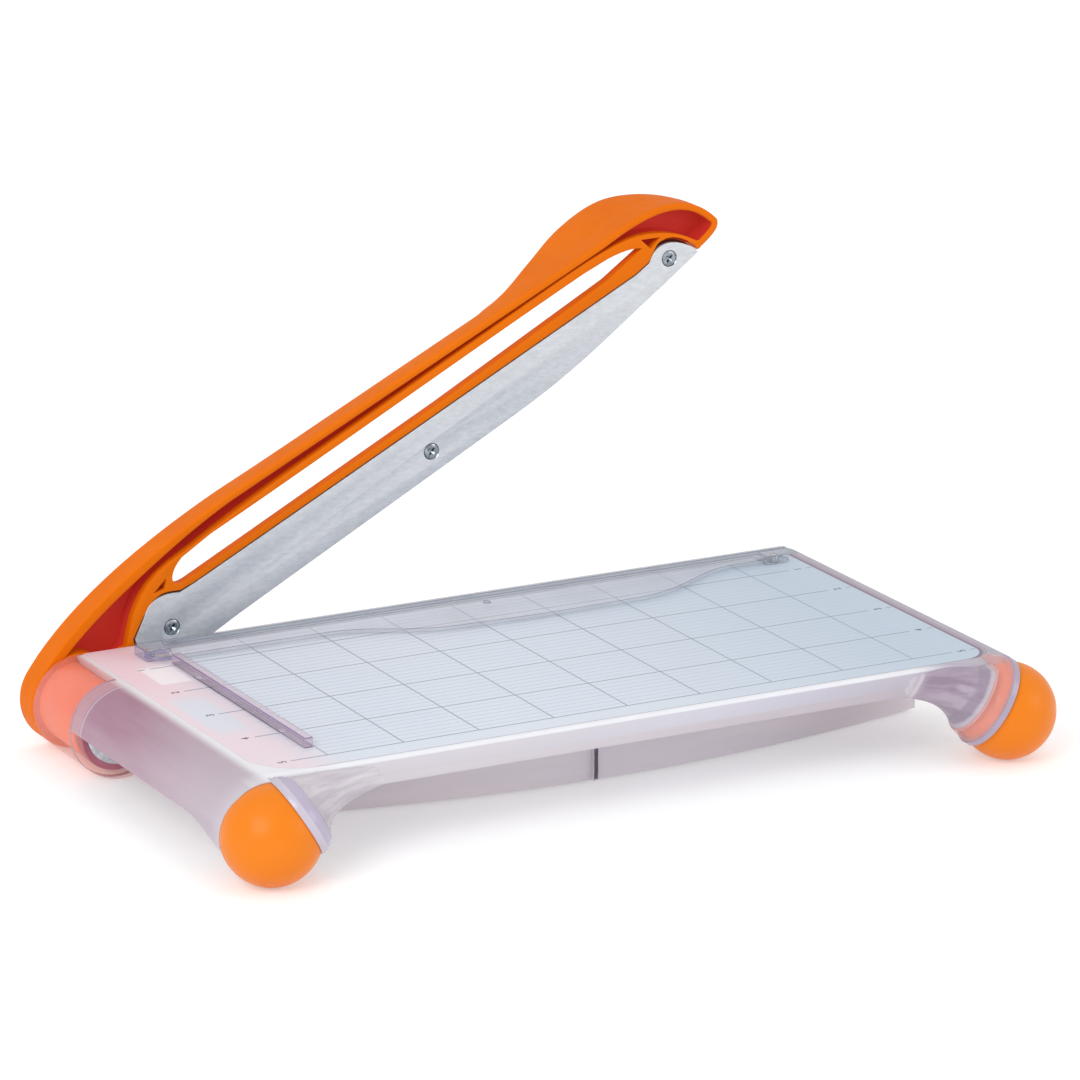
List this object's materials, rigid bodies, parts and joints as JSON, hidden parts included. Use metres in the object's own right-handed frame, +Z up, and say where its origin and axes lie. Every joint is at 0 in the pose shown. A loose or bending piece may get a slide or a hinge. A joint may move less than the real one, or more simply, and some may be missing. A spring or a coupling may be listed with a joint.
{
  "type": "guillotine paper trimmer",
  "caption": "Desktop paper trimmer with a hinged blade arm, a grid-printed translucent board, a clear finger guard, a paper fence and ball feet.",
  "frame": {"origin": "on the table, under the middle of the whole object's box with the arm standing open as at rest", "axes": "+X along the cut from the hinge to the handle, +Y from the board towards the blade side, +Z up"},
  "size_m": [0.2852, 0.1876, 0.1526],
  "materials": {
    "frosted_shell": "frosted translucent plastic, satin",
    "frosted_frame": "frosted translucent plastic, satin",
    "printed_label": "printed film, satin",
    "bed_steel": "ground steel",
    "blade_steel": "ground steel with a mottled surface",
    "zinc_steel": "zinc-plated steel, bright",
    "clear_guard": "clear moulded plastic, polished",
    "clear_fence": "clear moulded plastic, polished",
    "orange_ball": "moulded plastic, semi-gloss",
    "orange_arm": "moulded plastic, satin",
    "nylon": "natural nylon",
    "brass": "knurled brass",
    "pad_rubber": "moulded rubber, matt"
  },
  "bodies": {
    "base": {"base_shell": "frosted_shell", "under_frame": "frosted_frame", "frame_screws": "zinc_steel", "rubber_pads": "pad_rubber", "grid_label": "printed_label", "bed_blade": "bed_steel", "bed_screws": "zinc_steel", "finger_guard": "clear_guard", "guard_screws": "zinc_steel", "paper_fence": "clear_fence", "left_ball_foot": "orange_ball", "right_ball_foot": "orange_ball", "pivot_bolt": "zinc_steel", "pivot_nut": "zinc_steel", "spring_washer": "zinc_steel", "end_washer": "zinc_steel", "thrust_washer": "nylon"},
    "arm_body": {"arm": "orange_arm", "grip": "orange_arm", "blade": "blade_steel", "blade_screws": "zinc_steel", "blade_inserts": "brass", "pivot_bush": "nylon", "hub_cap": "orange_arm"}
  },
  "joints": [
    {"name": "arm_hinge", "type": "hinge", "parent": "base", "child": "arm_body", "pos_m": [-0.12645, 0.065, 0.0157], "axis": [0, -1, 0], "range_deg": [-28, 32]}
  ]
}
